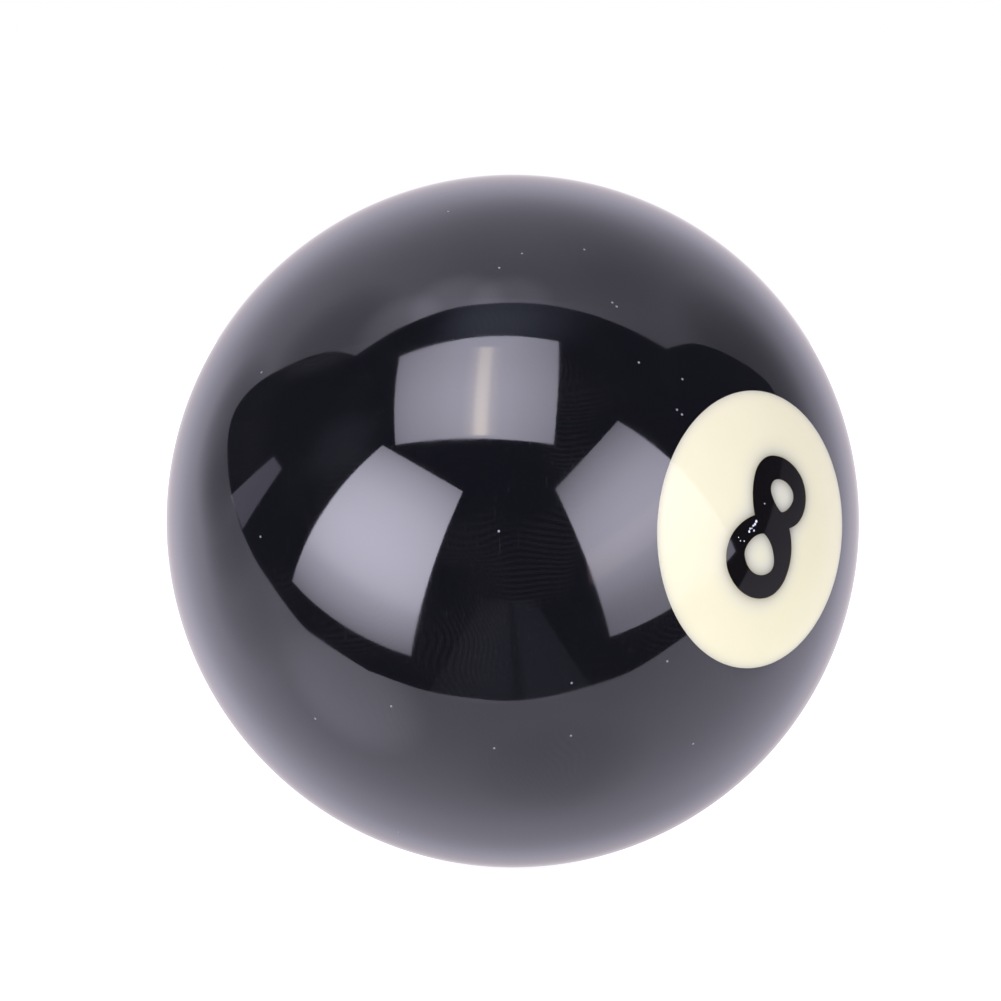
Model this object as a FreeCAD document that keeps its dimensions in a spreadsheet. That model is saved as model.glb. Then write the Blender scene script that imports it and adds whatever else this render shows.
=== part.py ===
import FreeCAD, Part
import math
import os
import Sketcher

# A numbered pool ball: a solid ball of black cast resin with a round ivory plug bonded into a blind
# socket on each side, and a black figure 8 inlaid in a shallow recess of each plug.
#
# Millimetres. The origin is the ball's centre and +Z is up, as the ball lies on a table. The two plugs lie
# on the Y axis, and the front figure faces -Y. It leans over to its right, as the ball came to rest. The
# rear plug and figure are the front ones turned 180 degrees about Z.

DIMENSIONS = {
    # The ball, its plugs and the depth of the inlay, measured inwards from the ball's surface on the Y axis.
    "ball_diameter": 57.15,
    "plug_diameter": 22.2,
    "plug_depth": 6.0,
    "figure_depth": 2.5,
    # How far the figure 8 leans clockwise from upright, in degrees.
    "figure_lean": 26.7,
    # How far a cut runs on past the ball's surface, in the open air.
    "overrun": 1.0,
    # Centres of the upright 8's four shoulders and the two notches of its waist, from the plug's centre.
    "upper_right_x": 0.6,
    "upper_right_z": 3.35,
    "upper_left_x": -0.85,
    "upper_left_z": 3.3,
    "lower_left_x": -1.0,
    "lower_left_z": -2.6,
    "lower_right_x": 0.7,
    "lower_right_z": -2.55,
    "left_notch_x": -2.3,
    "left_notch_z": 0.25,
    "right_notch_x": 1.9,
    "right_notch_z": 1.05,
    # Radii of its shoulders and of the long arcs that join them.
    "upper_shoulder": 2.6,
    "lower_shoulder": 2.85,
    "crown_bulge": 4.45,
    "spine_bulge": 4.75,
    "hook_bulge": 4.45,
    # Centres of the three rounded corners of each counter, the two islands of plug inside the 8.
    "upper_eye_right_x": 0.6,
    "upper_eye_right_z": 3.3,
    "upper_eye_left_x": -0.6,
    "upper_eye_left_z": 3.25,
    "upper_eye_tip_x": 0.35,
    "upper_eye_tip_z": 2.25,
    "lower_eye_left_x": -1.15,
    "lower_eye_left_z": -2.55,
    "lower_eye_right_x": 0.75,
    "lower_eye_right_z": -2.55,
    "lower_eye_tip_x": -0.65,
    "lower_eye_tip_z": -1.1,
    # Radii of the counters' corners and of the arcs that join them.
    "eye_shoulder": 0.85,
    "eye_tip": 0.45,
    "eye_crown_bulge": 2.1,
    "eye_side_bulge": 2.1,
    "eye_spine_bulge": 3.25,
}

# Each outline of the figure runs anticlockwise, seen from in front. An entry is a corner's name, the name
# of its radius, or None at a sharp notch, and the name of the radius of the arc that leads to the next one.
FIGURE_EDGE = [
    ("right_notch", None, "hook_bulge"),
    ("upper_right", "upper_shoulder", "crown_bulge"),
    ("upper_left", "upper_shoulder", "spine_bulge"),
    ("left_notch", None, "hook_bulge"),
    ("lower_left", "lower_shoulder", "crown_bulge"),
    ("lower_right", "lower_shoulder", "spine_bulge"),
]
UPPER_EYE = [
    ("upper_eye_right", "eye_shoulder", "eye_crown_bulge"),
    ("upper_eye_left", "eye_shoulder", "eye_spine_bulge"),
    ("upper_eye_tip", "eye_tip", "eye_side_bulge"),
]
LOWER_EYE = [
    ("lower_eye_left", "eye_shoulder", "eye_crown_bulge"),
    ("lower_eye_right", "eye_shoulder", "eye_spine_bulge"),
    ("lower_eye_tip", "eye_tip", "eye_side_bulge"),
]

BALL_RADIUS = "dimensions.ball_diameter / 2"
PLUG_RADIUS = "dimensions.plug_diameter / 2"
SOCKET_FLOOR = BALL_RADIUS + " - dimensions.plug_depth"
RECESS_FLOOR = BALL_RADIUS + " - dimensions.figure_depth"
ABOVE_SURFACE = BALL_RADIUS + " + dimensions.overrun"

# Sketcher's numbers for the ends of an edge, the origin and the vertical axis.
START = 1
END = 2
CENTRE = 3
ORIGIN = -1
VERTICAL_AXIS = -2

MATCHING_VOLUME = 1e-6

doc = FreeCAD.newDocument("pool_ball")


def make_sheet():
    sheet = doc.addObject("Spreadsheet::Sheet", "dimensions")
    for row, (alias, value) in enumerate(DIMENSIONS.items(), start=1):
        sheet.set(f"A{row}", alias)
        sheet.set(f"B{row}", str(value))
        sheet.setAlias(f"B{row}", alias)
    doc.recompute()
    return sheet


def value_of(expression):
    """The number that an expression in the sheet's aliases has now."""
    return float(sheet.evalExpression(expression))


def origin_plane(body, role):
    return next(feature for feature in body.Origin.OriginFeatures if feature.Role == role)


def new_sketch(body, name, role, distance=None):
    """A sketch on an origin plane of the body, moved out along the plane's normal by an expression."""
    sketch = body.newObject("Sketcher::SketchObject", name)
    sketch.AttachmentSupport = [(origin_plane(body, role), "")]
    sketch.MapMode = "FlatFace"
    if distance is not None:
        sketch.setExpression("AttachmentOffset.Base.z", distance)
    return sketch


def constrain(sketch, kind, *place, size=None):
    """Add a constraint; size is the expression that drives its value."""
    if size is None:
        sketch.addConstraint(Sketcher.Constraint(kind, *place))
        return
    index = sketch.addConstraint(Sketcher.Constraint(kind, *place, value_of(size)))
    sketch.setExpression(f"Constraints[{index}]", size)


def add_arc(sketch, centre, radius, first, last):
    """An arc of a circle from angle first anticlockwise to angle last, in radians."""
    circle = Part.Circle(FreeCAD.Vector(*centre, 0), FreeCAD.Vector(0, 0, 1), radius)
    return sketch.addGeometry(Part.ArcOfCircle(circle, first, last))


def add_line(sketch, first, last):
    return sketch.addGeometry(Part.LineSegment(FreeCAD.Vector(*first, 0), FreeCAD.Vector(*last, 0)))


def centre_on_left(first, first_reach, last, last_reach):
    """The point at both reaches, left of the way from first to last."""
    along = (last[0] - first[0], last[1] - first[1])
    span = math.hypot(*along)
    share = (span ** 2 + first_reach ** 2 - last_reach ** 2) / (2 * span)
    aside = math.sqrt(first_reach ** 2 - share ** 2)
    unit = (along[0] / span, along[1] / span)
    return (
        first[0] + share * unit[0] - aside * unit[1],
        first[1] + share * unit[1] + aside * unit[0],
    )


def heading(centre, point):
    return math.atan2(point[1] - centre[1], point[0] - centre[0])


def add_outline(sketch, outline):
    """A closed chain of tangent arcs: a long arc for each entry and a short one at each rounded corner."""
    corners = []
    for name, rounding, bulge in outline:
        centre = (DIMENSIONS[name + "_x"], DIMENSIONS[name + "_z"])
        corners.append((centre, DIMENSIONS[rounding] if rounding else 0.0, DIMENSIONS[bulge]))

    centres = []
    for (centre, rounding, bulge), (onward, next_rounding, _) in zip(corners, corners[1:] + corners[:1]):
        centres.append(centre_on_left(centre, bulge - rounding, onward, bulge - next_rounding))

    long_arcs = []
    for index, middle in enumerate(centres):
        centre, _, bulge = corners[index]
        onward = corners[(index + 1) % len(corners)][0]
        long_arcs.append(add_arc(sketch, middle, bulge, heading(middle, centre), heading(middle, onward)))
        constrain(sketch, "Radius", long_arcs[-1], size="dimensions." + outline[index][2])

    for index, (name, rounding, _) in enumerate(outline):
        centre, radius, _ = corners[index]
        before = long_arcs[index - 1]
        after = long_arcs[index]
        if rounding:
            corner = add_arc(
                sketch, centre, radius, heading(centres[index - 1], centre), heading(centres[index], centre)
            )
            constrain(sketch, "Tangent", before, END, corner, START)
            constrain(sketch, "Tangent", corner, END, after, START)
            constrain(sketch, "Radius", corner, size="dimensions." + rounding)
            fixed = (corner, CENTRE)
        else:
            constrain(sketch, "Coincident", before, END, after, START)
            fixed = (after, START)
        constrain(sketch, "DistanceX", ORIGIN, START, *fixed, size=f"dimensions.{name}_x")
        constrain(sketch, "DistanceY", ORIGIN, START, *fixed, size=f"dimensions.{name}_z")


def figure_sketch(body):
    """The leaning 8 on the floor of its recess, with the two counters as holes."""
    sketch = new_sketch(body, body.Name + "_outline", "XZ_Plane", RECESS_FLOOR)
    sketch.setExpression("AttachmentOffset.Rotation.Angle", "-dimensions.figure_lean")
    for outline in (FIGURE_EDGE, UPPER_EYE, LOWER_EYE):
        add_outline(sketch, outline)
    return sketch


def cap_sketch(body, level):
    """Half of the section between the ball's surface and a flat level across the Y axis."""
    sketch = new_sketch(body, body.Name + "_section", "XY_Plane")
    ball = value_of(BALL_RADIUS)
    plug = value_of(PLUG_RADIUS)
    flat = -value_of(level)
    rim = -math.sqrt(ball ** 2 - plug ** 2)

    surface = add_arc(sketch, (0, 0), ball, -math.pi / 2, heading((0, 0), (plug, rim)))
    wall = add_line(sketch, (plug, rim), (plug, flat))
    across = add_line(sketch, (plug, flat), (0, flat))
    along_axis = add_line(sketch, (0, flat), (0, -ball))

    constrain(sketch, "Coincident", surface, CENTRE, ORIGIN, START)
    constrain(sketch, "Coincident", surface, END, wall, START)
    constrain(sketch, "Coincident", wall, END, across, START)
    constrain(sketch, "Coincident", across, END, along_axis, START)
    constrain(sketch, "Coincident", along_axis, END, surface, START)
    constrain(sketch, "PointOnObject", surface, START, VERTICAL_AXIS)
    constrain(sketch, "PointOnObject", across, END, VERTICAL_AXIS)
    constrain(sketch, "Vertical", wall)
    constrain(sketch, "Horizontal", across)
    constrain(sketch, "Radius", surface, size=BALL_RADIUS)
    constrain(sketch, "DistanceX", ORIGIN, START, wall, END, size=PLUG_RADIUS)
    constrain(sketch, "DistanceY", ORIGIN, START, wall, END, size=f"-({level})")
    return sketch


def turned(body, kind, sketch):
    """Revolve or groove a sketch right round its own vertical axis."""
    feature = body.newObject(kind, body.Name + "_" + kind.split("::")[1].lower())
    feature.Profile = sketch
    feature.ReferenceAxis = (sketch, ["V_Axis"])
    feature.Angle = 360
    doc.recompute()
    return feature


def cut_outwards(body, sketch, length):
    """Cut from the sketch along its normal, which points out of the ball at the front."""
    pocket = body.newObject("PartDesign::Pocket", body.Name + "_pocket")
    pocket.Profile = sketch
    pocket.Reversed = True
    pocket.setExpression("Length", length)
    doc.recompute()
    return pocket


def make_ball_body():
    """The ball: a solid of revolution with a blind round socket in front and the same one behind."""
    body = doc.addObject("PartDesign::Body", "ball_body")
    section = new_sketch(body, "ball_section", "XZ_Plane")
    ball = value_of(BALL_RADIUS)
    surface = add_arc(section, (0, 0), ball, -math.pi / 2, math.pi / 2)
    along_axis = add_line(section, (0, ball), (0, -ball))
    constrain(section, "Coincident", surface, CENTRE, ORIGIN, START)
    constrain(section, "Coincident", surface, END, along_axis, START)
    constrain(section, "Coincident", along_axis, END, surface, START)
    constrain(section, "PointOnObject", surface, START, VERTICAL_AXIS)
    constrain(section, "PointOnObject", surface, END, VERTICAL_AXIS)
    constrain(section, "Radius", surface, size=BALL_RADIUS)
    turned(body, "PartDesign::Revolution", section)

    mouth = new_sketch(body, "socket_outline", "XZ_Plane", SOCKET_FLOOR)
    plug = value_of(PLUG_RADIUS)
    rim = mouth.addGeometry(Part.Circle(FreeCAD.Vector(0, 0, 0), FreeCAD.Vector(0, 0, 1), plug))
    constrain(mouth, "Coincident", rim, CENTRE, ORIGIN, START)
    constrain(mouth, "Radius", rim, size=PLUG_RADIUS)
    socket = cut_outwards(body, mouth, "dimensions.plug_depth + dimensions.overrun")

    both_sockets = body.newObject("PartDesign::Mirrored", "both_sockets")
    both_sockets.Originals = [socket]
    both_sockets.MirrorPlane = (origin_plane(body, "XZ_Plane"), [""])
    body.Tip = both_sockets
    return body


def make_number_plug(name):
    """The ivory plug: a short cylinder with a face of the ball's curve, recessed where the 8 goes."""
    body = doc.addObject("PartDesign::Body", name)
    turned(body, "PartDesign::Revolution", cap_sketch(body, SOCKET_FLOOR))
    cut_outwards(body, figure_sketch(body), "dimensions.figure_depth + dimensions.overrun")
    return body


def make_numeral(name):
    """The black 8 that fills the plug's recess, trimmed to the ball's curve."""
    body = doc.addObject("PartDesign::Body", name)
    pad = body.newObject("PartDesign::Pad", name + "_pad")
    pad.Profile = figure_sketch(body)
    pad.setExpression("Length", "dimensions.figure_depth")
    doc.recompute()
    turned(body, "PartDesign::Groove", cap_sketch(body, ABOVE_SURFACE))
    return body


def check(pieces):
    """Stop if anything failed to build, or if the pieces don't fill the ball exactly."""
    for thing in doc.Objects:
        if "Invalid" in thing.State or "Error" in thing.State:
            raise RuntimeError(f"{thing.Name} failed: {thing.State}")
        if thing.TypeId == "Sketcher::SketchObject" and not thing.FullyConstrained:
            raise RuntimeError(f"{thing.Name} isn't fully constrained")
    for piece in pieces:
        if piece.Shape.isNull() or not piece.Shape.isValid() or len(piece.Shape.Solids) != 1:
            raise RuntimeError(f"{piece.Label} isn't one valid solid")
    whole = 4 / 3 * math.pi * value_of(BALL_RADIUS) ** 3
    filled = sum(piece.Shape.Volume for piece in pieces)
    if abs(filled / whole - 1) > MATCHING_VOLUME:
        raise RuntimeError(f"the pieces fill {filled / whole:.6f} of the ball")


sheet = make_sheet()
pieces = [make_ball_body()]
for side, turn in (("front", 0), ("rear", 180)):
    for piece in (make_number_plug(side + "_number_plug"), make_numeral(side + "_numeral")):
        piece.Placement = FreeCAD.Placement(FreeCAD.Vector(), FreeCAD.Vector(0, 0, 1), turn)
        pieces.append(piece)
for piece in pieces:
    piece.Label = piece.Name
doc.recompute()
check(pieces)

os.makedirs("parts", exist_ok=True)
for piece in pieces:
    piece.Shape.exportStep(f"parts/{piece.Label}.step")
    print(f"{piece.Label}: {piece.Shape.Volume:.3f} mm3")
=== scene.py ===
import math

import bpy
import numpy as np
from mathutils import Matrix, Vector
from mathutils.geometry import delaunay_2d_cdt


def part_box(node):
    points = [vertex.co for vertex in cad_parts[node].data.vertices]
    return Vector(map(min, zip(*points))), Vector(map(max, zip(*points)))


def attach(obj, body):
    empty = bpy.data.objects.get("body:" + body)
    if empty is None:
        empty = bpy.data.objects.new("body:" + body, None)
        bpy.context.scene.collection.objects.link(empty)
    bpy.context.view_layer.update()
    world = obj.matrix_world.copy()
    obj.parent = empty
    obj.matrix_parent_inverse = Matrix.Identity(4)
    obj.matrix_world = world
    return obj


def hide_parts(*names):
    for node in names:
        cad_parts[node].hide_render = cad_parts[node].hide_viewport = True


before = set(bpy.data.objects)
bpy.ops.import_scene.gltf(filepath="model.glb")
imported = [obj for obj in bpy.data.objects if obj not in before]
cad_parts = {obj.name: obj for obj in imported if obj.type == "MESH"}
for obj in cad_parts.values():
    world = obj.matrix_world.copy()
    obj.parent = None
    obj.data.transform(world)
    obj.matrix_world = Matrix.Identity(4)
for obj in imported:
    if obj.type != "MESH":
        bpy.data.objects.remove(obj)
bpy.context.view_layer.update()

# A numbered pool ball of polished black resin, with an ivory number disc inlaid on each side. Metres, with the
# origin at the ball's centre. The front number faces -Y, and +Z is up.
#
# A point of a number's flat drawing is a complex number: its real part runs to the right and its imaginary
# part up, as seen from in front of that number.

MM = 0.001

ball_low, ball_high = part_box("ball_body")
plug_low, plug_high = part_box("front_number_plug")
_, figure_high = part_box("front_numeral")

BALL_RADIUS = (ball_high.z - ball_low.z) / 2
PLUG_RADIUS = (plug_high.x - plug_low.x) / 2
SOCKET_FLOOR = -plug_high.y
RECESS_FLOOR = -figure_high.y

# The figure leans clockwise. Times FIGURE_TURN, a place on the upright figure, in millimetres, becomes a place
# on the leaning one, in metres.
FIGURE_LEAN = math.radians(26.7)
FIGURE_TURN = MM * np.exp(-1j * FIGURE_LEAN)

# The figure 8, upright: the same outline as the CAD model's, in millimetres. Each entry is a corner's place,
# its rounding, and the radius of the arc that leads anticlockwise to the next corner.
FIGURE_EDGE = [
    (1.9 + 1.05j, 0.0, 4.45),
    (0.6 + 3.35j, 2.6, 4.45),
    (-0.85 + 3.3j, 2.6, 4.75),
    (-2.3 + 0.25j, 0.0, 4.45),
    (-1.0 - 2.6j, 2.85, 4.45),
    (0.7 - 2.55j, 2.85, 4.75),
]
UPPER_EYE = [
    (0.6 + 3.3j, 0.85, 2.1),
    (-0.6 + 3.25j, 0.85, 3.25),
    (0.35 + 2.25j, 0.45, 2.1),
]
LOWER_EYE = [
    (-1.15 - 2.55j, 0.85, 2.1),
    (0.75 - 2.55j, 0.85, 3.25),
    (-0.65 - 1.1j, 0.45, 2.1),
]

# Pits that polishing left in the front figure: place on the upright figure and radius, in millimetres.
PITS = [
    (-1.95 - 0.15j, 0.16),
    (-1.97 - 0.4j, 0.15),
    (-2.1 - 0.6j, 0.12),
    (-1.85 - 0.9j, 0.12),
    (-2.15 - 0.85j, 0.08),
    (-2.3 - 0.95j, 0.12),
    (-2.3 - 1.2j, 0.14),
    (-2.43 - 2.1j, 0.08),
    (-2.8 - 2.25j, 0.07),
    (-3.1 - 2.1j, 0.06),
    (-1.65 + 1.55j, 0.07),
]
PIT_STEEPNESS = 0.3

# The mesh points that shape a pit: how many to a ring, and the rings, in the pit's own radii. Other points keep
# clear of it.
PIT_RAYS = 12
PIT_RINGS = (0.25, 0.5, 0.75, 1.0, 1.2)
PIT_CLEARANCE = 1.3

# Grains of dust on the ball: degrees round from the front number, and degrees up.
DUST = [
    (-70, 63),
    (-44, 50.5),
    (-27.5, 51.5),
    (-49.5, 47),
    (-98, 26),
    (-91, -1),
    (-48.5, 0.5),
    (-36, -24.5),
    (-19, -21),
    (-69, -29),
    (-87, -32),
    (-50, -37),
    (-35, -34.5),
    (-7, -37),
    (-23, 28),
    (-15, 25),
    (-17.4, 19.8),
    (-16.6, 19),
    (-25.3, 39.4),
    (-24.6, 38.6),
]

# How finely the meshes are divided.
BALL_SEGMENTS = 288
BALL_RINGS = 144
OUTLINE_STEP = 0.1 * MM
FINE_STEP = 0.13 * MM
COARSE_STEP = 0.4 * MM
FINE_BAND = 1.0 * MM
EDGE_CLEARANCE = 0.06 * MM
CURVE_STEPS = 10
PANEL_STEPS = 16

# What Blender's triangulation is asked for: every triangle, or those inside the edges only. Points that are
# closer than the tolerance become one.
ALL_TRIANGLES = 0
TRIANGLES_INSIDE = 1
MERGE_TOLERANCE = 1e-6

# Light spreads this far inside the ivory before it comes out again, for red, green and blue. Where it meets
# the figure it is lost, so the ivory is dimmer and bluer along those edges. Near the rim it spreads less far,
# and only this share of what reaches the rim is lost. This dimming is painted shade, put into the ivory's
# colour by the glow attribute. It is worked out on a grid of this spacing, which reaches a little past the
# rim: SPREAD_MARGIN is in the disc's radii.
IVORY_SPREAD = (0.42 * MM, 0.38 * MM, 0.24 * MM)
RIM_SPREAD = (0.22 * MM, 0.21 * MM, 0.16 * MM)
RIM_LOSS = (0.6, 0.58, 0.42)
SPREAD_GRID = 0.06 * MM
SPREAD_MARGIN = 1.1

# The looks of the three resins. Each pair of colours or roughnesses is the two ends of a faint cloudiness, and
# HAZE_RANGE is the part of the noise over which the roughness changes.
RESIN_IOR = 1.58
HAZE_RANGE = (0.3, 0.8)
BLACK_ROUGHNESS = (0.03, 0.07)
IVORY_ROUGHNESS = (0.04, 0.08)
BLACKS = ((0.0018, 0.0018, 0.0032), (0.0030, 0.0030, 0.0046))
RIPPLE_COLOUR = (0.0052, 0.0052, 0.0064)
SCRATCH_COLOUR = (0.01, 0.01, 0.012)
DUST_COLOUR = (0.22, 0.22, 0.24)
IVORIES = ((0.728, 0.698, 0.487), (0.702, 0.67, 0.453))
IVORY_SHINE = 0.15
FIGURE_BLACKS = ((0.0014, 0.0011, 0.0012), (0.0034, 0.0022, 0.0021))
# Pale bluish white for the figure's pits: polishing compound, and a painted glint of the lights they catch.
COMPOUND_AND_GLINT_COLOUR = (0.62, 0.68, 0.74)

# The pale polishing compound and painted glint in the figure's pits are grainy: how much the grain counts, the
# sums at which they start and are full, the depths over which a pit begins to hold them, and the roughness
# without and with them.
COMPOUND_AND_GLINT_GRAIN = 0.8
COMPOUND_AND_GLINT_RANGE = (0.75, 0.95)
COMPOUND_AND_GLINT_DEPTHS = (0.02, 0.15)
COMPOUND_AND_GLINT_ROUGHNESS = (0.05, 0.5)

# The black resin's marks. The scratches run three ways: how each kind is turned, and its width and length. A
# scratch is where a stretched noise peaks, from its faint edge to its full middle. A grain of dust fades
# between two distances from its centre. Between the grains there are smaller specks. Scratches and dust are
# rougher than the polish by these amounts.
SCRATCHES = [
    ((0.5, 0.9, 0.2), 0.14 * MM, 7 * MM),
    ((1.3, -0.4, 0.7), 0.12 * MM, 5 * MM),
    ((-0.8, 0.5, 1.9), 0.12 * MM, 5 * MM),
]
SCRATCH_EDGE = 0.77
SCRATCH_MIDDLE = 0.88
GRAIN_EDGE = 0.13 * MM
GRAIN_MIDDLE = 0.05 * MM
SPECK_SPACING = 6.5 * MM
SPECK_RADIUS = 0.08 * MM
SCRATCH_ROUGHNESS = 0.03
DUST_ROUGHNESS = 0.4

# The faint lines of the polishing wheel: the direction they run across and the size of their patches, how far
# apart they are, how far and over what distance they swerve, and where the noise that scatters the patches is
# high enough for the lines to start and to be full.
RIPPLES = [((1, -1, 0.6), 9 * MM), ((0.2, 0.3, 1), 7 * MM)]
RIPPLE_PITCH = 0.42 * MM
RIPPLE_SWERVE = 5 * MM
RIPPLE_SWERVE_LENGTH = 7 * MM
RIPPLE_PATCH_EDGE = 0.5
RIPPLE_PATCH_MIDDLE = 0.66

# The camera, seen from the ball: degrees round from the front number and above the table. It aims a little to
# the side of the ball's centre, and its lens and sensor are in millimetres.
CAMERA_AZIMUTH = math.radians(-46.3)
CAMERA_ELEVATION = math.radians(2.1)
CAMERA_DISTANCE = 20 * BALL_RADIUS
CAMERA_LENS = 248.95
CAMERA_SENSOR = 36
CAMERA_SEES_FROM = 0.1
CAMERA_SEES_TO = 10
CAMERA_AIM_RIGHT = -1.015 * MM
CAMERA_AIM_UP = 1.7 * MM

to_camera = Vector((
    math.sin(CAMERA_AZIMUTH) * math.cos(CAMERA_ELEVATION),
    -math.cos(CAMERA_AZIMUTH) * math.cos(CAMERA_ELEVATION),
    math.sin(CAMERA_ELEVATION),
))
camera_right = Vector((0, 0, 1)).cross(to_camera).normalized()
camera_up = to_camera.cross(camera_right)


# ---------------------------------------------------------------- the number's drawing


def centre_on_left(first, first_reach, last, last_reach):
    """The point at both reaches, left of the way from first to last."""
    along = last - first
    span = abs(along)
    share = (span ** 2 + first_reach ** 2 - last_reach ** 2) / (2 * span)
    aside = math.sqrt(first_reach ** 2 - share ** 2)
    return first + (share + 1j * aside) * along / span


def arc(centre, radius, first, last):
    """Points anticlockwise along an arc, from the heading of first up to but not including that of last."""
    start = np.angle(first - centre)
    sweep = (np.angle(last - centre) - start) % (2 * math.pi)
    count = max(2, math.ceil(radius * sweep / OUTLINE_STEP))
    return centre + radius * np.exp(1j * (start + sweep * np.arange(count) / count))


def outline(corners):
    """A closed loop of tangent arcs, leaning as the figure leans."""
    corners = [(place * FIGURE_TURN, rounding * MM, bulge * MM) for place, rounding, bulge in corners]
    onward = corners[1:] + corners[:1]
    middles = [
        centre_on_left(place, bulge - rounding, next_place, bulge - next_rounding)
        for (place, rounding, bulge), (next_place, next_rounding, _) in zip(corners, onward)
    ]
    stretches = []
    for index, (place, rounding, bulge) in enumerate(corners):
        before = middles[index - 1]
        after = middles[index]
        if rounding:
            stretches.append(arc(place, rounding, 2 * place - before, 2 * place - after))
        stretches.append(arc(after, bulge, place, onward[index][0]))
    return np.concatenate(stretches)


def inside(points, loop):
    """Which points lie inside a closed loop."""
    result = np.zeros(points.shape, bool)
    for first, last in zip(loop, np.roll(loop, -1)):
        if first.imag == last.imag:
            continue
        crosses = (first.imag > points.imag) != (last.imag > points.imag)
        share = (points.imag - first.imag) / (last.imag - first.imag)
        result ^= crosses & (points.real < first.real + share * (last.real - first.real))
    return result


RIM = PLUG_RADIUS * np.exp(2j * math.pi * np.arange(BALL_SEGMENTS) / BALL_SEGMENTS)
FIGURE = outline(FIGURE_EDGE)
EYES = [outline(UPPER_EYE), outline(LOWER_EYE)]


def in_figure(points):
    return inside(points, FIGURE) & ~inside(points, EYES[0]) & ~inside(points, EYES[1])


def hexagonal_grid(step):
    """Points of a triangular grid over the whole disc."""
    reach = math.ceil(PLUG_RADIUS / step) + 1
    steps = np.arange(-2 * reach, 2 * reach)
    across, along = np.meshgrid(steps, steps)
    points = (step * (across + along * np.exp(1j * math.pi / 3))).ravel()
    return points[abs(points) < PLUG_RADIUS]


def distance_to(points, targets):
    nearest = np.full(points.shape, np.inf)
    for target in targets:
        nearest = np.minimum(nearest, abs(points - target))
    return nearest


def pit_rosettes(pits):
    """Rings of points that give each pit its shape."""
    rays = np.exp(2j * math.pi * np.arange(PIT_RAYS) / PIT_RAYS)
    rings = np.array(PIT_RINGS)
    return [place + np.concatenate([[0], (radius * rings[:, None] * rays).ravel()]) for place, radius in pits]


def divide_disc(pits):
    """Triangles over the disc, fine near every edge. Returns the points and the triangles' corners."""
    edges = np.concatenate([RIM, FIGURE, *EYES])
    fine = hexagonal_grid(FINE_STEP)
    gap = distance_to(fine, edges)
    fine = fine[(gap > EDGE_CLEARANCE) & (gap < FINE_BAND)]
    coarse = hexagonal_grid(COARSE_STEP)
    coarse = coarse[distance_to(coarse, edges) >= FINE_BAND]
    for place, radius in pits:
        fine = fine[abs(fine - place) > PIT_CLEARANCE * radius]

    points = np.concatenate([edges, fine, coarse, *pit_rosettes(pits)])
    rings = []
    first = 0
    for loop in (RIM, FIGURE, *EYES):
        last = first + len(loop)
        rings += [(index, index + 1 if index + 1 < last else first) for index in range(first, last)]
        first = last
    flat = [Vector((point.real / MM, point.imag / MM)) for point in points]
    corners, _, triangles, _, _, _ = delaunay_2d_cdt(flat, rings, [], ALL_TRIANGLES, MERGE_TOLERANCE)
    points = np.array([complex(corner.x, corner.y) for corner in corners]) * MM
    return points, np.array(triangles)


# ---------------------------------------------------------------- meshes


def new_object(name, mesh, material):
    """Puts a mesh of one material in the scene."""
    mesh.materials.append(material)
    made = bpy.data.objects.new(name, mesh)
    bpy.context.scene.collection.objects.link(made)
    return made


def on_sphere(points):
    depth = np.sqrt(BALL_RADIUS ** 2 - abs(points) ** 2)
    return np.column_stack([points.real, -depth, points.imag])


def on_level(points, level):
    return np.column_stack([points.real, np.full(points.shape, -level), points.imag])


def open_edges(triangles):
    """The edges that only one triangle has, in that triangle's own direction."""
    edges = {(a, b) for triangle in triangles for a, b in zip(triangle, np.roll(triangle, -1))}
    return [(a, b) for a, b in edges if (b, a) not in edges]


class Build:
    """Gathers a closed mesh's vertices and faces, with the normal of each corner of each face."""

    def __init__(self):
        self.vertices = []
        self.faces = []
        self.normals = []

    def add_vertices(self, places):
        first = len(self.vertices)
        self.vertices.extend(map(tuple, places))
        return first

    def add_face(self, corners, normals=None):
        """A face, flat unless the normals of its corners are given."""
        self.faces.append([int(corner) for corner in corners])
        if normals is None:
            a, b, c = (Vector(self.vertices[corner]) for corner in self.faces[-1][:3])
            normals = [(b - a).cross(c - a).normalized()] * len(corners)
        self.normals.extend(map(tuple, normals))

    def add_curved(self, corners, smooth):
        self.add_face(corners, [smooth[corner] for corner in corners])

    def finish(self, name, material, turned):
        """The Blender object. A rear piece is turned half round about Z."""
        sign = np.array([-1, -1, 1]) if turned else np.array([1, 1, 1])
        mesh = bpy.data.meshes.new(name)
        mesh.from_pydata((np.array(self.vertices) * sign).tolist(), [], self.faces)
        mesh.polygons.foreach_set("use_smooth", [True] * len(self.faces))
        mesh.normals_split_custom_set((np.array(self.normals) * sign).tolist())
        return new_object(name, mesh, material)


def build_ball(material):
    """The black ball: a sphere about the Y axis with a blind socket at each end."""
    build = Build()
    rim_angle = math.asin(PLUG_RADIUS / BALL_RADIUS)
    spin = np.exp(2j * math.pi * np.arange(BALL_SEGMENTS) / BALL_SEGMENTS)
    rings = []
    for angle in np.linspace(rim_angle, math.pi - rim_angle, BALL_RINGS + 1):
        ring = BALL_RADIUS * math.sin(angle) * spin
        rings.append(build.add_vertices(on_level(ring, BALL_RADIUS * math.cos(angle))))
    smooth = np.array(build.vertices) / BALL_RADIUS
    onward = np.roll(np.arange(BALL_SEGMENTS), -1)
    for front, behind in zip(rings, rings[1:]):
        for here, there in enumerate(onward):
            build.add_curved((front + there, front + here, behind + here, behind + there), smooth)

    for rim, level in ((rings[0], SOCKET_FLOOR), (rings[-1], -SOCKET_FLOOR)):
        floor = build.add_vertices(on_level(PLUG_RADIUS * spin, level))
        order = list(range(BALL_SEGMENTS))
        if level > 0:
            walls = [(rim + here, rim + onward[here], floor + onward[here], floor + here) for here in order]
        else:
            walls = [(rim + onward[here], rim + here, floor + here, floor + onward[here]) for here in order]
            order.reverse()
        for wall in walls:
            build.add_face(wall)
        build.add_face([floor + index for index in order])
    return build.finish("polished_ball", material, False)


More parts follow.
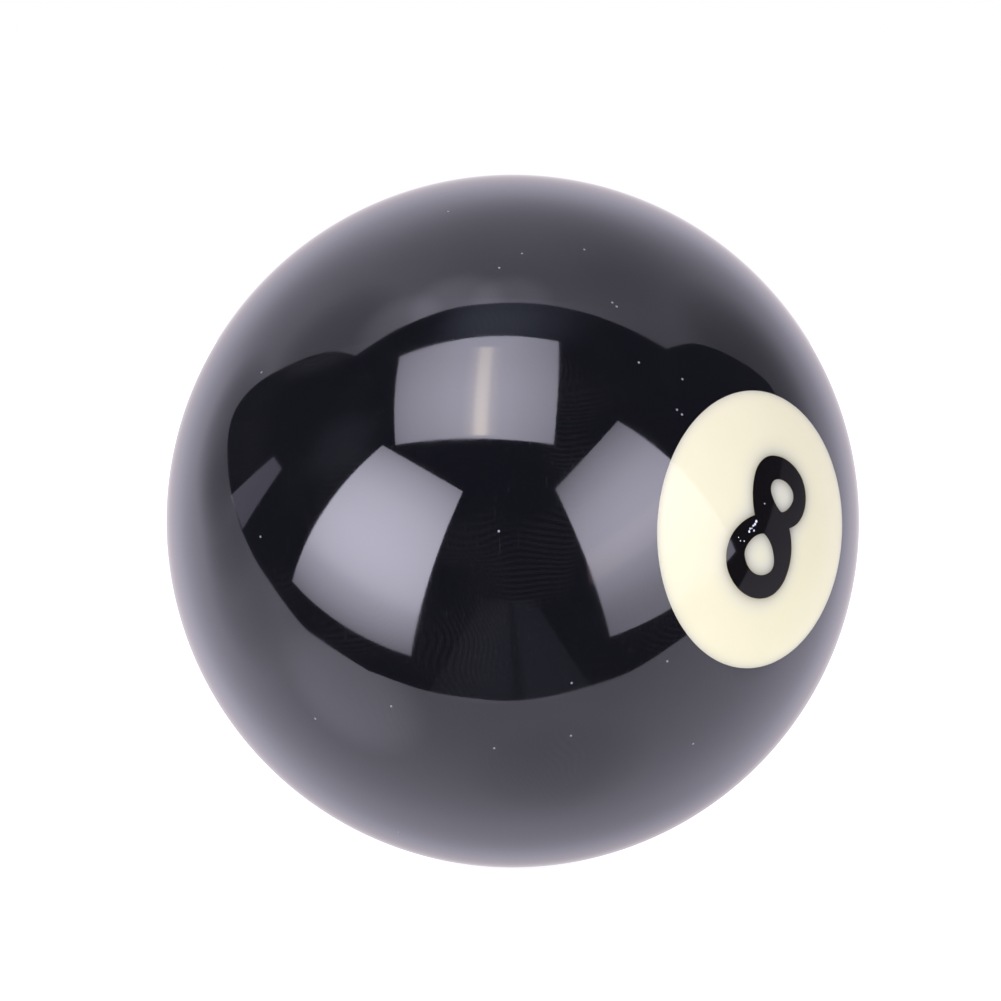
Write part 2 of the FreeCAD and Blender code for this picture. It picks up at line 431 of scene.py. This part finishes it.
def add_walls(build, edges, upper, lower):
    """Walls down from the directed edges of a top surface to its floor."""
    for a, b in edges:
        build.add_face((upper[b], upper[a], lower[a], lower[b]))


def numbered(build, points, places):
    """Adds the places of the points that are used, and returns where each of them is in the build."""
    first = build.add_vertices(places)
    return dict(zip(points, range(first, first + len(places))))


def build_disc(name, material, points, triangles, turned):
    """The ivory plug: its face on the sphere, the recess for the figure, its side and its flat back."""
    is_figure = in_figure(points[triangles].mean(axis=1))
    face = triangles[~is_figure]
    recess = triangles[is_figure]
    build = Build()

    used = np.unique(face)
    top = numbered(build, used, on_sphere(points[used]))
    smooth = np.array(build.vertices) / BALL_RADIUS
    for triangle in face:
        build.add_curved([top[corner] for corner in triangle], smooth)

    used = np.unique(recess)
    floor = numbered(build, used, on_level(points[used], RECESS_FLOOR))
    for triangle in recess:
        build.add_face([floor[corner] for corner in triangle])

    edges = open_edges(face)
    rim = [edge for edge in edges if edge[0] not in floor]
    add_walls(build, [edge for edge in edges if edge[0] in floor], top, floor)
    used = np.array([a for a, b in rim])
    used = used[np.argsort(np.angle(points[used]))]
    back = numbered(build, used, on_level(points[used], SOCKET_FLOOR))
    add_walls(build, rim, top, back)
    build.add_face([back[corner] for corner in used[::-1]])

    piece = build.finish(name, material, turned)
    # Painted shade: the glow attribute dims and cools the ivory's colour along the figure and the rim.
    glow = piece.data.color_attributes.new("glow", "FLOAT_COLOR", "POINT")
    light = np.ones((len(build.vertices), 4))
    light[:len(top), :3] = painted_edge_shade(points[list(top)])
    glow.data.foreach_set("color", light.ravel())
    return piece


def build_figure(name, material, points, triangles, pits, turned):
    """The black 8: its face on the sphere, dented by the pits, its walls and its flat back."""
    band = triangles[in_figure(points[triangles].mean(axis=1))]
    used = np.unique(band)
    build = Build()

    normals = on_sphere(points[used]) / BALL_RADIUS
    surface = normals * BALL_RADIUS
    pit_depth = np.zeros(len(used))
    smooth = normals.copy()
    for place, radius in pits:
        away = points[used] - place
        share = np.clip(1 - abs(away) ** 2 / radius ** 2, 0, 1)
        surface -= normals * (PIT_STEEPNESS * radius * share ** 2)[:, None]
        slope = 4 * PIT_STEEPNESS * share * away / radius
        smooth -= np.column_stack([slope.real, np.zeros(len(used)), slope.imag])
        pit_depth = np.maximum(pit_depth, share)
    smooth /= np.linalg.norm(smooth, axis=1)[:, None]

    top = numbered(build, used, surface)
    floor = numbered(build, used, on_level(points[used], RECESS_FLOOR))
    for triangle in band:
        build.add_curved([top[corner] for corner in triangle], smooth)
        build.add_face([floor[corner] for corner in triangle[::-1]])
    add_walls(build, open_edges(band), top, floor)

    piece = build.finish(name, material, turned)
    # How far into a pit each point is; the material paints the pits pale there, as compound and painted glint.
    marks = piece.data.attributes.new("pit_depth", "FLOAT", "POINT")
    marks.data.foreach_set("value", np.concatenate([pit_depth, np.zeros(len(used))]))
    return piece


def painted_edge_shade(points):
    """Painted shade for the ivory: how much light comes back out of it at each point, for red, green and blue.
    """
    half = math.ceil(SPREAD_MARGIN * PLUG_RADIUS / SPREAD_GRID)
    ticks = np.arange(-half, half) * SPREAD_GRID
    across, up = np.meshgrid(ticks, ticks)
    grid = across + 1j * up
    figure = in_figure(grid)
    outside = abs(grid) > PLUG_RADIUS
    column = points.real / SPREAD_GRID + half
    row = points.imag / SPREAD_GRID + half
    left = np.floor(column).astype(int)
    low = np.floor(row).astype(int)

    def reach(black, spread):
        """How much of the light at each place of the grid reaches a black region."""
        kernel = np.exp(-abs(grid) / spread)
        kernel /= kernel.sum()
        return np.fft.ifft2(np.fft.fft2(black) * np.fft.fft2(np.fft.ifftshift(kernel))).real

    channels = []
    for spread, rim_spread, rim_loss in zip(IVORY_SPREAD, RIM_SPREAD, RIM_LOSS):
        glow = 1 - reach(figure, spread) - rim_loss * reach(outside, rim_spread)
        lower = glow[low, left] * (left + 1 - column) + glow[low, left + 1] * (column - left)
        upper = glow[low + 1, left] * (left + 1 - column) + glow[low + 1, left + 1] * (column - left)
        channels.append(lower * (low + 1 - row) + upper * (row - low))
    return np.column_stack(channels)


# ---------------------------------------------------------------- materials


def node_maker(tree):
    """A function that adds a node to the tree with the given settings."""

    def add(kind, **settings):
        made = tree.nodes.new(kind)
        for setting, value in settings.items():
            setattr(made, setting, value)
        return made

    return add


def new_material(name):
    """A material with nodes. Returns it, a maker of nodes, a maker of links and its Principled shader."""
    material = bpy.data.materials.new(name)
    material.use_nodes = True
    tree = material.node_tree
    return material, node_maker(tree), tree.links.new, tree.nodes["Principled BSDF"]


def bare_material(name):
    """A material with an output only. Returns it, a maker of nodes, a maker of links and the output's socket."""
    material = bpy.data.materials.new(name)
    material.use_nodes = True
    tree = material.node_tree
    tree.nodes.clear()
    add = node_maker(tree)
    return material, add, tree.links.new, add("ShaderNodeOutputMaterial").inputs["Surface"]


def feed(link, socket, value):
    """Gives a socket a plain number or a plain colour, or links it to another socket."""
    if isinstance(value, tuple):
        socket.default_value = (*value, 1)
    elif isinstance(value, (int, float)):
        socket.default_value = value
    else:
        link(value, socket)


def linked_noise(add, link, place, size, detail):
    """A noise texture whose lumps are about size metres across."""
    noise = add("ShaderNodeTexNoise")
    noise.inputs["Scale"].default_value = 1 / size
    noise.inputs["Detail"].default_value = detail
    link(place, noise.inputs["Vector"])
    return noise.outputs["Fac"]


def remapped(add, link, value, low, high, to_low=0.0, to_high=1.0):
    """value, moved smoothly from the range low to high to the range to_low to to_high."""
    step = add("ShaderNodeMapRange", interpolation_type="SMOOTHSTEP")
    for socket, number in zip(("From Min", "From Max", "To Min", "To Max"), (low, high, to_low, to_high)):
        step.inputs[socket].default_value = number
    link(value, step.inputs["Value"])
    return step.outputs["Result"]


def mixed(add, link, share, first, last, blend="MIX"):
    """A colour blended from two. The share and both colours may be plain or sockets."""
    mix = add("ShaderNodeMix", data_type="RGBA", blend_type=blend)
    feed(link, mix.inputs["Factor"], share)
    feed(link, mix.inputs[6], first)
    feed(link, mix.inputs[7], last)
    return mix.outputs[2]


def combined(add, link, operation, first, last=0):
    """A maths operation on one number or on two, of which the second may be a plain one."""
    maths = add("ShaderNodeMath", operation=operation)
    link(first, maths.inputs[0])
    feed(link, maths.inputs[1], last)
    return maths.outputs[0]


def measured(add, link, operation, place, vector):
    """The number that a vector operation makes from a place and a fixed vector."""
    measure = add("ShaderNodeVectorMath", operation=operation)
    link(place, measure.inputs[0])
    measure.inputs[1].default_value = vector
    return measure.outputs["Value"]


def strongest(add, link, values):
    """The greatest of several numbers."""
    greatest, *others = values
    for value in others:
        greatest = combined(add, link, "MAXIMUM", greatest, value)
    return greatest


def specks(add, link, place, spacing, radius):
    """1 inside small scattered grains of the given radius, and 0 between them."""
    cells = add("ShaderNodeTexVoronoi")
    cells.inputs["Scale"].default_value = 1 / spacing
    link(place, cells.inputs["Vector"])
    return remapped(add, link, cells.outputs["Distance"], radius / spacing, 0.5 * radius / spacing)


def hairlines(add, link, place, turn, width, length):
    """1 along sparse fine scratches that run one way, and 0 between them."""
    stretch = add("ShaderNodeMapping")
    stretch.inputs["Rotation"].default_value = turn
    stretch.inputs["Scale"].default_value = (1 / width, 1 / width, 1 / length)
    link(place, stretch.inputs["Vector"])
    streaks = linked_noise(add, link, stretch.outputs["Vector"], 1, detail=0)
    return remapped(add, link, streaks, SCRATCH_EDGE, SCRATCH_MIDDLE)


def grains(add, link, place):
    """1 on each grain of dust, and 0 elsewhere."""
    dots = []
    for about, up in DUST:
        about = math.radians(about)
        up = math.radians(up)
        grain = Vector((math.sin(about) * math.cos(up), -math.cos(about) * math.cos(up), math.sin(up)))
        gap = measured(add, link, "DISTANCE", place, grain * BALL_RADIUS)
        dots.append(remapped(add, link, gap, GRAIN_EDGE, GRAIN_MIDDLE))
    return strongest(add, link, dots)


def ripples(add, link, place, direction, patch_size):
    """Faint wavy lines across a direction, which handling and polishing leave in scattered patches."""
    along = measured(add, link, "DOT_PRODUCT", place, Vector(direction).normalized())
    swerve = linked_noise(add, link, place, RIPPLE_SWERVE_LENGTH, detail=1)
    swerve = combined(add, link, "MULTIPLY", swerve, RIPPLE_SWERVE)
    swerved = combined(add, link, "ADD", along, swerve)
    phase = combined(add, link, "MULTIPLY", swerved, 2 * math.pi / RIPPLE_PITCH)
    lines = remapped(add, link, combined(add, link, "SINE", phase), -1, 1)
    patch = linked_noise(add, link, place, patch_size, detail=1)
    patch = remapped(add, link, patch, RIPPLE_PATCH_EDGE, RIPPLE_PATCH_MIDDLE)
    # Level cuts through a ball lie evenly on its surface round its middle, and too far apart near its ends.
    off_middle = combined(add, link, "ABSOLUTE", along)
    evenly_spaced = remapped(add, link, off_middle, 0.75 * BALL_RADIUS, 0.5 * BALL_RADIUS)
    return combined(add, link, "MULTIPLY", lines, combined(add, link, "MULTIPLY", patch, evenly_spaced))


def black_resin():
    """Deep black, polished, with dust, hairline scratches and the faint lines of the polishing wheel."""
    material, add, link, shader = new_material("black_resin")
    place = add("ShaderNodeTexCoord").outputs["Object"]
    scratches = strongest(add, link, [hairlines(add, link, place, *kind) for kind in SCRATCHES])
    lines = strongest(add, link, [ripples(add, link, place, *kind) for kind in RIPPLES])
    small_dust = specks(add, link, place, SPECK_SPACING, SPECK_RADIUS)
    dust = strongest(add, link, [grains(add, link, place), small_dust])

    cloud = linked_noise(add, link, place, 9 * MM, detail=4)
    black = mixed(add, link, cloud, *BLACKS)
    black = mixed(add, link, lines, black, RIPPLE_COLOUR)
    black = mixed(add, link, scratches, black, SCRATCH_COLOUR)
    link(mixed(add, link, dust, black, DUST_COLOUR), shader.inputs["Base Color"])

    haze = linked_noise(add, link, place, 5 * MM, detail=6)
    rough = remapped(add, link, haze, *HAZE_RANGE, *BLACK_ROUGHNESS)
    rough = combined(add, link, "ADD", rough, combined(add, link, "MULTIPLY", scratches, SCRATCH_ROUGHNESS))
    rough = combined(add, link, "ADD", rough, combined(add, link, "MULTIPLY", dust, DUST_ROUGHNESS))
    link(rough, shader.inputs["Roughness"])

    bump = add("ShaderNodeBump")
    bump.inputs["Strength"].default_value = 0.004
    bump.inputs["Distance"].default_value = 0.1 * MM
    link(linked_noise(add, link, place, 0.5 * MM, detail=3), bump.inputs["Height"])
    link(bump.outputs["Normal"], shader.inputs["Normal"])
    shader.inputs["IOR"].default_value = RESIN_IOR
    return material


def ivory_resin():
    """Warm ivory, faintly clouded, with painted shade from the glow attribute that dims and cools it along its
    black edges.
    """
    material, add, link, shader = new_material("ivory_resin")
    place = add("ShaderNodeTexCoord").outputs["Object"]
    cloud = linked_noise(add, link, place, 6 * MM, detail=3)
    ivory = mixed(add, link, cloud, *IVORIES)
    # Painted shade: the ivory's colour is multiplied by the glow attribute, darker and bluer along the figure
    # and the rim.
    glow = add("ShaderNodeVertexColor", layer_name="glow").outputs["Color"]
    link(mixed(add, link, 1, ivory, glow, blend="MULTIPLY"), shader.inputs["Base Color"])
    haze = linked_noise(add, link, place, 4 * MM, detail=5)
    link(remapped(add, link, haze, *HAZE_RANGE, *IVORY_ROUGHNESS), shader.inputs["Roughness"])
    shader.inputs["IOR"].default_value = RESIN_IOR
    shader.inputs["Specular IOR Level"].default_value = IVORY_SHINE
    return material


def figure_resin():
    """Black with a trace of brown, and pale polishing compound with a painted glint in its pits."""
    material, add, link, shader = new_material("figure_resin")
    place = add("ShaderNodeTexCoord").outputs["Object"]
    cloud = linked_noise(add, link, place, 1.5 * MM, detail=3)
    black = mixed(add, link, cloud, *FIGURE_BLACKS)
    # Painted glint and polishing compound: the pits are painted pale bluish white and made rougher.
    pit_depth = add("ShaderNodeAttribute", attribute_name="pit_depth").outputs["Fac"]
    grain = linked_noise(add, link, place, 0.12 * MM, detail=2)
    grain = combined(add, link, "MULTIPLY", grain, COMPOUND_AND_GLINT_GRAIN)
    compound_and_glint = remapped(add, link, combined(add, link, "ADD", pit_depth, grain), *COMPOUND_AND_GLINT_RANGE)
    compound_and_glint = combined(add, link, "MULTIPLY", compound_and_glint, remapped(add, link, pit_depth, *COMPOUND_AND_GLINT_DEPTHS))
    link(mixed(add, link, compound_and_glint, black, COMPOUND_AND_GLINT_COLOUR), shader.inputs["Base Color"])
    link(remapped(add, link, compound_and_glint, 0, 1, *COMPOUND_AND_GLINT_ROUGHNESS), shader.inputs["Roughness"])
    shader.inputs["IOR"].default_value = RESIN_IOR
    return material


# ---------------------------------------------------------------- the studio

# The studio's lights are placed round the camera as the ball sees them: degrees right of the way to the
# camera, and degrees above it. The ball lies in a white light tent that has an opening towards the camera,
# with a dark room and three softboxes outside it.
TENT_DISTANCE = 1.6
TENT_LIGHT = (1.19, 1.14, 1.38)
ROOM_LIGHT = (0.075, 0.075, 0.1)
SOFTBOX_DISTANCE = 1.2
SOFTBOX_COLOUR = (0.93, 0.9, 1.09)

# The tubes add their glow to the softboxes' cloth, and are nearer. The panels for the room and for the tent's
# cloth lie just inside the tent.
TUBE_DISTANCE = 0.8 * SOFTBOX_DISTANCE
PANEL_DISTANCE = TENT_DISTANCE - 0.1

# The sheet that the ball lies on: its colour, its own glow and half its width.
SHEET_GREY = 0.5
SHEET_GLOW = 0.95
SHEET_HALF = 3.0

# The opening's edge, clockwise, as stretches that meet at corners. The dark room behind it is divided in
# squares of OPENING_STEP degrees.
OPENING = [
    [
        (-55, 58), (-47, 63), (-39, 67.5), (-23, 73.5), (-8, 75.5),
        (8, 75.5), (23, 73), (33, 70), (43, 66), (54, 60.5),
    ],
    [
        (54, 60.5), (59, 62.5), (65.5, 64), (74, 63), (82, 60.5),
        (90.5, 57), (99, 50.5), (103, 37), (99.5, 20),
    ],
    [(99.5, 20), (94.5, 5), (90, -5), (83, -18), (78, -26)],
    [(78, -26), (58.5, -40)],
    [
        (58.5, -40), (41, -50.5), (26.5, -55.5), (12.5, -59),
        (0, -60.5), (-11, -60), (-29.5, -57.5), (-49.5, -51.5),
    ],
    [
        (-49.5, -51.5), (-58.5, -46.5), (-68, -41), (-74, -37),
        (-82.5, -27.5), (-87, -22), (-93.5, -14), (-100, -3.5),
    ],
    [
        (-100, -3.5), (-106, 11), (-109, 23.5), (-110, 34),
        (-108, 42.5), (-102.5, 49), (-94, 54), (-83.5, 57.5),
    ],
    [(-83.5, 57.5), (-73, 60), (-63.5, 60.5), (-55, 58)],
]
OPENING_STEP = 6

# Parts of the tent that are darker, brighter or tinted: where, the degrees from there between which the change
# fades, and what the light is multiplied by, as one number or as red, green and blue.
TENT_CHANGES = [
    ((94, 50), (4, 28), 0.5),
    ((85, 50), (10, 60), 0.66),
    ((97, -5), (14, 34), 0.34),
    ((10, 105), (10, 35), 0.76),
    ((0, 78), (2, 12), 1.35),
    ((-20, 77), (2, 14), 1.5),
    ((-40, 68), (2, 14), 1.5),
    ((-65, 60), (6, 24), 0.7),
    ((-108, 8), (2, 20), 0.7),
    ((-112, 32), (2, 18), 0.6),
    ((-104, -24), (3, 20), 0.8),
    ((-78, 78), (8, 30), 0.85),
    ((18, -90), (4, 24), 0.88),
    ((-58, -60), (4, 24), 1.45),
    ((-85, -85), (15, 60), 1.17),
    ((78, -66), (10, 40), 1.15),
    ((0, 180), (8, 37), (0.84, 0.8, 0.73)),
    ((0, -150), (8, 32), 0.85),
]


def towards(right, up):
    """The direction that is so many degrees right of and above the way to the camera."""
    angle = math.radians(math.hypot(right, up))
    side = (camera_right * right + camera_up * up).normalized()
    return to_camera * math.cos(angle) + side * math.sin(angle)


def curve_through(points):
    """Points along a smooth curve through the given ones, without the last."""
    points = np.array(points, float)
    padded = np.vstack([2 * points[0] - points[1], points, 2 * points[-1] - points[-2]])
    curve = []
    for before, start, end, after in zip(padded, padded[1:], padded[2:], padded[3:]):
        for share in np.arange(CURVE_STEPS) / CURVE_STEPS:
            leave = (end - before) / 2
            arrive = (after - start) / 2
            swing = 3 * (end - start) - 2 * leave - arrive
            settle = 2 * (start - end) + leave + arrive
            curve.append(start + share * (leave + share * (swing + share * settle)))
    return curve


def light_only(name, vertices, faces, material, uvs=None):
    """A mesh that the camera doesn't see, and that lights and is mirrored in the ball."""
    mesh = bpy.data.meshes.new(name)
    mesh.from_pydata(vertices, [], faces)
    if uvs is not None:
        layer = mesh.uv_layers.new(name="across")
        for loop in mesh.loops:
            layer.data[loop.index].uv = uvs[loop.vertex_index]
    panel = new_object(name, mesh, material)
    panel.visible_camera = False
    return panel


def profile(add, link, value, stops):
    """A number that follows the stops as the value runs from 0 to 1, smoothly and straight at both ends."""
    follow = add("ShaderNodeFloatCurve")
    peak = max(level for _, level in stops)
    curve = follow.mapping.curves[0]
    for place, level in stops[1:-1]:
        curve.points.new(place, level / peak)
    for point, (place, level) in zip((curve.points[0], curve.points[-1]), (stops[0], stops[-1])):
        point.location = (place, level / peak)
    follow.mapping.update()
    link(value, follow.inputs["Value"])
    return combined(add, link, "MULTIPLY", follow.outputs["Value"], peak)


def emitter(name, colour, across, up, share=1.0):
    """A material that adds its glow to whatever lies behind it: the product of a profile each way."""
    material, add, link, surface = bare_material(name)
    place = add("ShaderNodeUVMap", uv_map="across")
    split = add("ShaderNodeSeparateXYZ")
    link(place.outputs["UV"], split.inputs["Vector"])
    level_across = profile(add, link, split.outputs["X"], across)
    level_up = profile(add, link, split.outputs["Y"], up)
    glow = add("ShaderNodeEmission")
    glow.inputs["Color"].default_value = (*(share * channel for channel in colour), 1)
    link(combined(add, link, "MULTIPLY", level_across, level_up), glow.inputs["Strength"])
    both = add("ShaderNodeAddShader")
    link(glow.outputs["Emission"], both.inputs[0])
    link(add("ShaderNodeBsdfTransparent").outputs["BSDF"], both.inputs[1])
    link(both.outputs["Shader"], surface)
    return material


def panel(name, corners, distance, material, curved=False):
    """A panel whose corners lie in the given directions: lower left, lower right, upper right, upper left.

    It is flat, or bends round the ball if it is curved.
    """
    if curved:
        low_left, low_right, high_right, high_left = (Vector(corner) for corner in corners)
    else:
        low_left, low_right, high_right, high_left = (towards(*corner) * distance for corner in corners)
    shares = [index / PANEL_STEPS for index in range(PANEL_STEPS + 1)]
    vertices = []
    uvs = []
    for up in shares:
        for right in shares:
            spot = low_left.lerp(low_right, right).lerp(high_left.lerp(high_right, right), up)
            vertices.append(towards(*spot) * distance if curved else spot)
            uvs.append((right, up))
    row = PANEL_STEPS + 1
    faces = [
        (first, first + 1, first + row + 1, first + row)
        for first in (line * row + index for line in range(PANEL_STEPS) for index in range(PANEL_STEPS))
    ]
    return light_only(name, vertices, faces, material, uvs)


def make_opening():
    """The dark room beyond the tent's opening: a patch of a great sphere round the ball."""
    edge = [point for stretch in OPENING for point in curve_through(stretch)]
    flat = [Vector(point) for point in edge]
    loop = np.array([complex(*point) for point in edge])
    across = range(-120, 121, OPENING_STEP)
    upward = range(-90, 91, OPENING_STEP)
    grid = np.array([complex(right, up) for right in across for up in upward])
    flat += [Vector((point.real, point.imag)) for point in grid[inside(grid, loop)]]
    rings = [(index, (index + 1) % len(edge)) for index in range(len(edge))]
    corners, _, faces, _, _, _ = delaunay_2d_cdt(flat, rings, [], TRIANGLES_INSIDE, MERGE_TOLERANCE)
    vertices = [towards(*corner) * TENT_DISTANCE for corner in corners]

    material, add, link, surface = bare_material("dark_room")
    glow = add("ShaderNodeEmission")
    glow.inputs["Color"].default_value = (*ROOM_LIGHT, 1)
    link(glow.outputs["Emission"], surface)
    light_only("dark_room", vertices, faces, material)


def reflected_panel(name, corners, distance, colour, across, up, curved=False):
    """A panel that only shows as a reflection."""
    made = panel(name, corners, distance, emitter(name + "_glow", colour, across, up), curved)
    made.visible_diffuse = False


def softbox(name, corners, across, up, share):
    """A softbox of which only a share of the light falls on dull surfaces. The rest shows as a reflection."""
    reflected_panel(name, corners, SOFTBOX_DISTANCE, SOFTBOX_COLOUR, across, up)
    fill = emitter(name + "_fill_glow", SOFTBOX_COLOUR, across, up, share)
    panel(name + "_fill", corners, SOFTBOX_DISTANCE, fill).visible_glossy = False


def make_softboxes():
    nearly_even = [(0, 0.88), (0.3, 1), (0.7, 1), (1, 0.88)]
    softbox(
        "left_softbox",
        corners=[(-77, -21), (-34, -45), (-16, 9.5), (-43, 25)],
        across=nearly_even,
        up=[(0, 2.5), (0.2, 5.6), (0.42, 9.1), (0.62, 9.0), (0.85, 6.8), (1, 4.2)],
        share=0.2,
    )
    softbox(
        "right_softbox",
        corners=[(32.2, -38.2), (77.5, -10.5), (34.6, 33), (13.6, 10.3)],
        across=nearly_even,
        up=[(0, 2.5), (0.15, 3.0), (0.3, 4.4), (0.42, 5.8), (0.55, 6.6), (0.68, 6.2), (0.85, 4.5), (1, 2.6)],
        share=0.45,
    )
    softbox(
        "top_softbox",
        corners=[(-38.5, 25), (13.2, 24.7), (15.5, 60.5), (-38.5, 56)],
        across=[(0, 3.5), (0.1, 4.4), (0.25, 5.2), (0.45, 6.0), (0.62, 6.0), (0.8, 5.1), (1, 4.0)],
        up=[(0, 0.97), (0.4, 1.07), (0.75, 0.97), (1, 0.85)],
        share=0.86,
    )


def make_reflections():
    """The softboxes' tubes, and what shows faintly of the room and of the edges of the tent's cloth."""
    even = [(0, 1), (1, 1)]
    reflected_panel(
        "top_tube",
        corners=[(-17, 27.5), (-4, 27.5), (-2.5, 58), (-15, 58)],
        distance=TUBE_DISTANCE,
        colour=(1.0, 0.84, 0.6),
        across=[(0, 0), (0.25, 0.25), (0.5, 1), (0.75, 0.25), (1, 0)],
        up=[(0, 5.5), (1, 3.4)],
    )
    reflected_panel(
        "right_tube",
        corners=[(25, -21), (61, 5), (54, 14), (23, -10)],
        distance=TUBE_DISTANCE,
        colour=(1.0, 0.7, 0.6),
        across=even,
        up=[(0, 0), (0.5, 0.6), (1, 0)],
    )
    reflected_panel(
        "room_floor",
        corners=[(-29, -58.5), (27, -56.5), (7, -25), (-10, -25)],
        distance=PANEL_DISTANCE,
        colour=(1.0, 0.97, 1.3),
        across=[(0, 0.4), (0.15, 0.75), (0.48, 1), (0.55, 0.45), (0.62, 1), (0.85, 1), (1, 0.5)],
        up=[(0, 0.12), (0.7, 0.13), (0.95, 0.08), (1, 0.0)],
    )
    reflected_panel(
        "tent_flap",
        corners=[(-106, 9.5), (-99.5, -3), (-81.5, 18.5), (-85.5, 23)],
        distance=PANEL_DISTANCE,
        colour=(1.0, 0.97, 1.25),
        across=even,
        up=[(0, 0.7), (0.6, 0.8), (1, 0.85)],
        curved=True,
    )
    reflected_panel(
        "tent_haze",
        corners=[(-42, 54), (34, 56), (36, 76), (-34, 79)],
        distance=PANEL_DISTANCE,
        colour=(0.9, 1.0, 1.4),
        across=[(0, 0), (0.12, 0.03), (0.4, 0.42), (0.55, 0.38), (0.73, 0.17), (0.9, 0.02), (1, 0)],
        up=[(0, 0), (0.2, 0.4), (0.5, 1), (0.75, 0.9), (1, 0)],
        curved=True,
    )
    reflected_panel(
        "tent_hem",
        corners=[(-90, 46), (-46, 57), (-44, 64), (-92, 56)],
        distance=PANEL_DISTANCE,
        colour=(1.0, 0.96, 1.2),
        across=[(0, 0), (0.1, 0.1), (0.3, 1), (0.8, 1), (0.93, 0.1), (1, 0)],
        up=[(0, 0), (0.15, 0.01), (0.7, 0.1), (1, 0.1)],
        curved=True,
    )
    reflected_panel(
        "room_glow",
        corners=[(-92, -2), (-40, 4), (-22, 52), (-78, 46)],
        distance=PANEL_DISTANCE,
        colour=(1.0, 1.0, 1.3),
        across=[(0, 0), (0.18, 0.04), (0.5, 1), (0.82, 0.04), (1, 0)],
        up=[(0, 0), (0.18, 0.005), (0.5, 0.14), (0.82, 0.005), (1, 0)],
        curved=True,
    )


def make_tent():
    """The world: plain white to the camera, and the tent's soft light to everything else."""
    world = bpy.data.worlds.new("light_tent")
    bpy.context.scene.world = world
    world.use_nodes = True
    tree = world.node_tree
    tree.nodes.clear()
    add = node_maker(tree)
    link = tree.links.new

    facing = add("ShaderNodeTexCoord").outputs["Generated"]
    colour = TENT_LIGHT
    for place, (near, far), light in TENT_CHANGES:
        nearness = measured(add, link, "DOT_PRODUCT", facing, towards(*place))
        fade = remapped(add, link, nearness, math.cos(math.radians(far)), math.cos(math.radians(near)))
        change = light if isinstance(light, tuple) else (light, light, light)
        colour = mixed(add, link, fade, colour, change, blend="MULTIPLY")

    tent = add("ShaderNodeBackground")
    link(colour, tent.inputs["Color"])
    white = add("ShaderNodeBackground")
    white.inputs["Color"].default_value = (1, 1, 1, 1)
    choose = add("ShaderNodeMixShader")
    link(add("ShaderNodeLightPath").outputs["Is Camera Ray"], choose.inputs["Fac"])
    link(tent.outputs["Background"], choose.inputs[1])
    link(white.outputs["Background"], choose.inputs[2])
    link(choose.outputs["Shader"], add("ShaderNodeOutputWorld").inputs["Surface"])


def make_floor():
    """A pale sheet, lit from below as well as above, so that the ball's shadow on it is faint."""
    material, _, _, shader = new_material("pale_sheet")
    shader.inputs["Base Color"].default_value = (SHEET_GREY, SHEET_GREY, SHEET_GREY, 1)
    shader.inputs["Roughness"].default_value = 0.9
    shader.inputs["Emission Color"].default_value = (1, 1, 1, 1)
    shader.inputs["Emission Strength"].default_value = SHEET_GLOW
    mesh = bpy.data.meshes.new("floor")
    signs = ((-1, -1), (1, -1), (1, 1), (-1, 1))
    mesh.from_pydata([(x * SHEET_HALF, y * SHEET_HALF, ball_low.z) for x, y in signs], [], [(0, 1, 2, 3)])
    floor = new_object("floor", mesh, material)
    floor.visible_glossy = False


def make_camera():
    camera = bpy.data.objects.new("camera", bpy.data.cameras.new("camera"))
    bpy.context.scene.collection.objects.link(camera)
    camera.data.lens = CAMERA_LENS
    camera.data.sensor_width = CAMERA_SENSOR
    camera.data.clip_start = CAMERA_SEES_FROM
    camera.data.clip_end = CAMERA_SEES_TO
    camera.location = to_camera * CAMERA_DISTANCE
    aim = camera_right * CAMERA_AIM_RIGHT + camera_up * CAMERA_AIM_UP
    camera.rotation_mode = "QUATERNION"
    camera.rotation_quaternion = (aim - camera.location).to_track_quat("-Z", "Y")
    bpy.context.scene.camera = camera


# ---------------------------------------------------------------- the object


def stand_in(piece, node):
    """Hands a piece over in place of a CAD node."""
    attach(piece, "root")
    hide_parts(node)


make_camera()
make_tent()
make_floor()
make_opening()
make_softboxes()
make_reflections()

front_pits = [(spot * FIGURE_TURN, radius * MM) for spot, radius in PITS]
ivory = ivory_resin()
black_figure = figure_resin()
stand_in(build_ball(black_resin()), "ball_body")
for side, turned, pits in (("front", False, front_pits), ("rear", True, [])):
    points, triangles = divide_disc(pits)
    disc = build_disc(side + "_number_disc", ivory, points, triangles, turned)
    stand_in(disc, side + "_number_plug")
    eight = build_figure(side + "_figure", black_figure, points, triangles, pits, turned)
    stand_in(eight, side + "_numeral")

bpy.context.scene.view_settings.view_transform = "Standard"
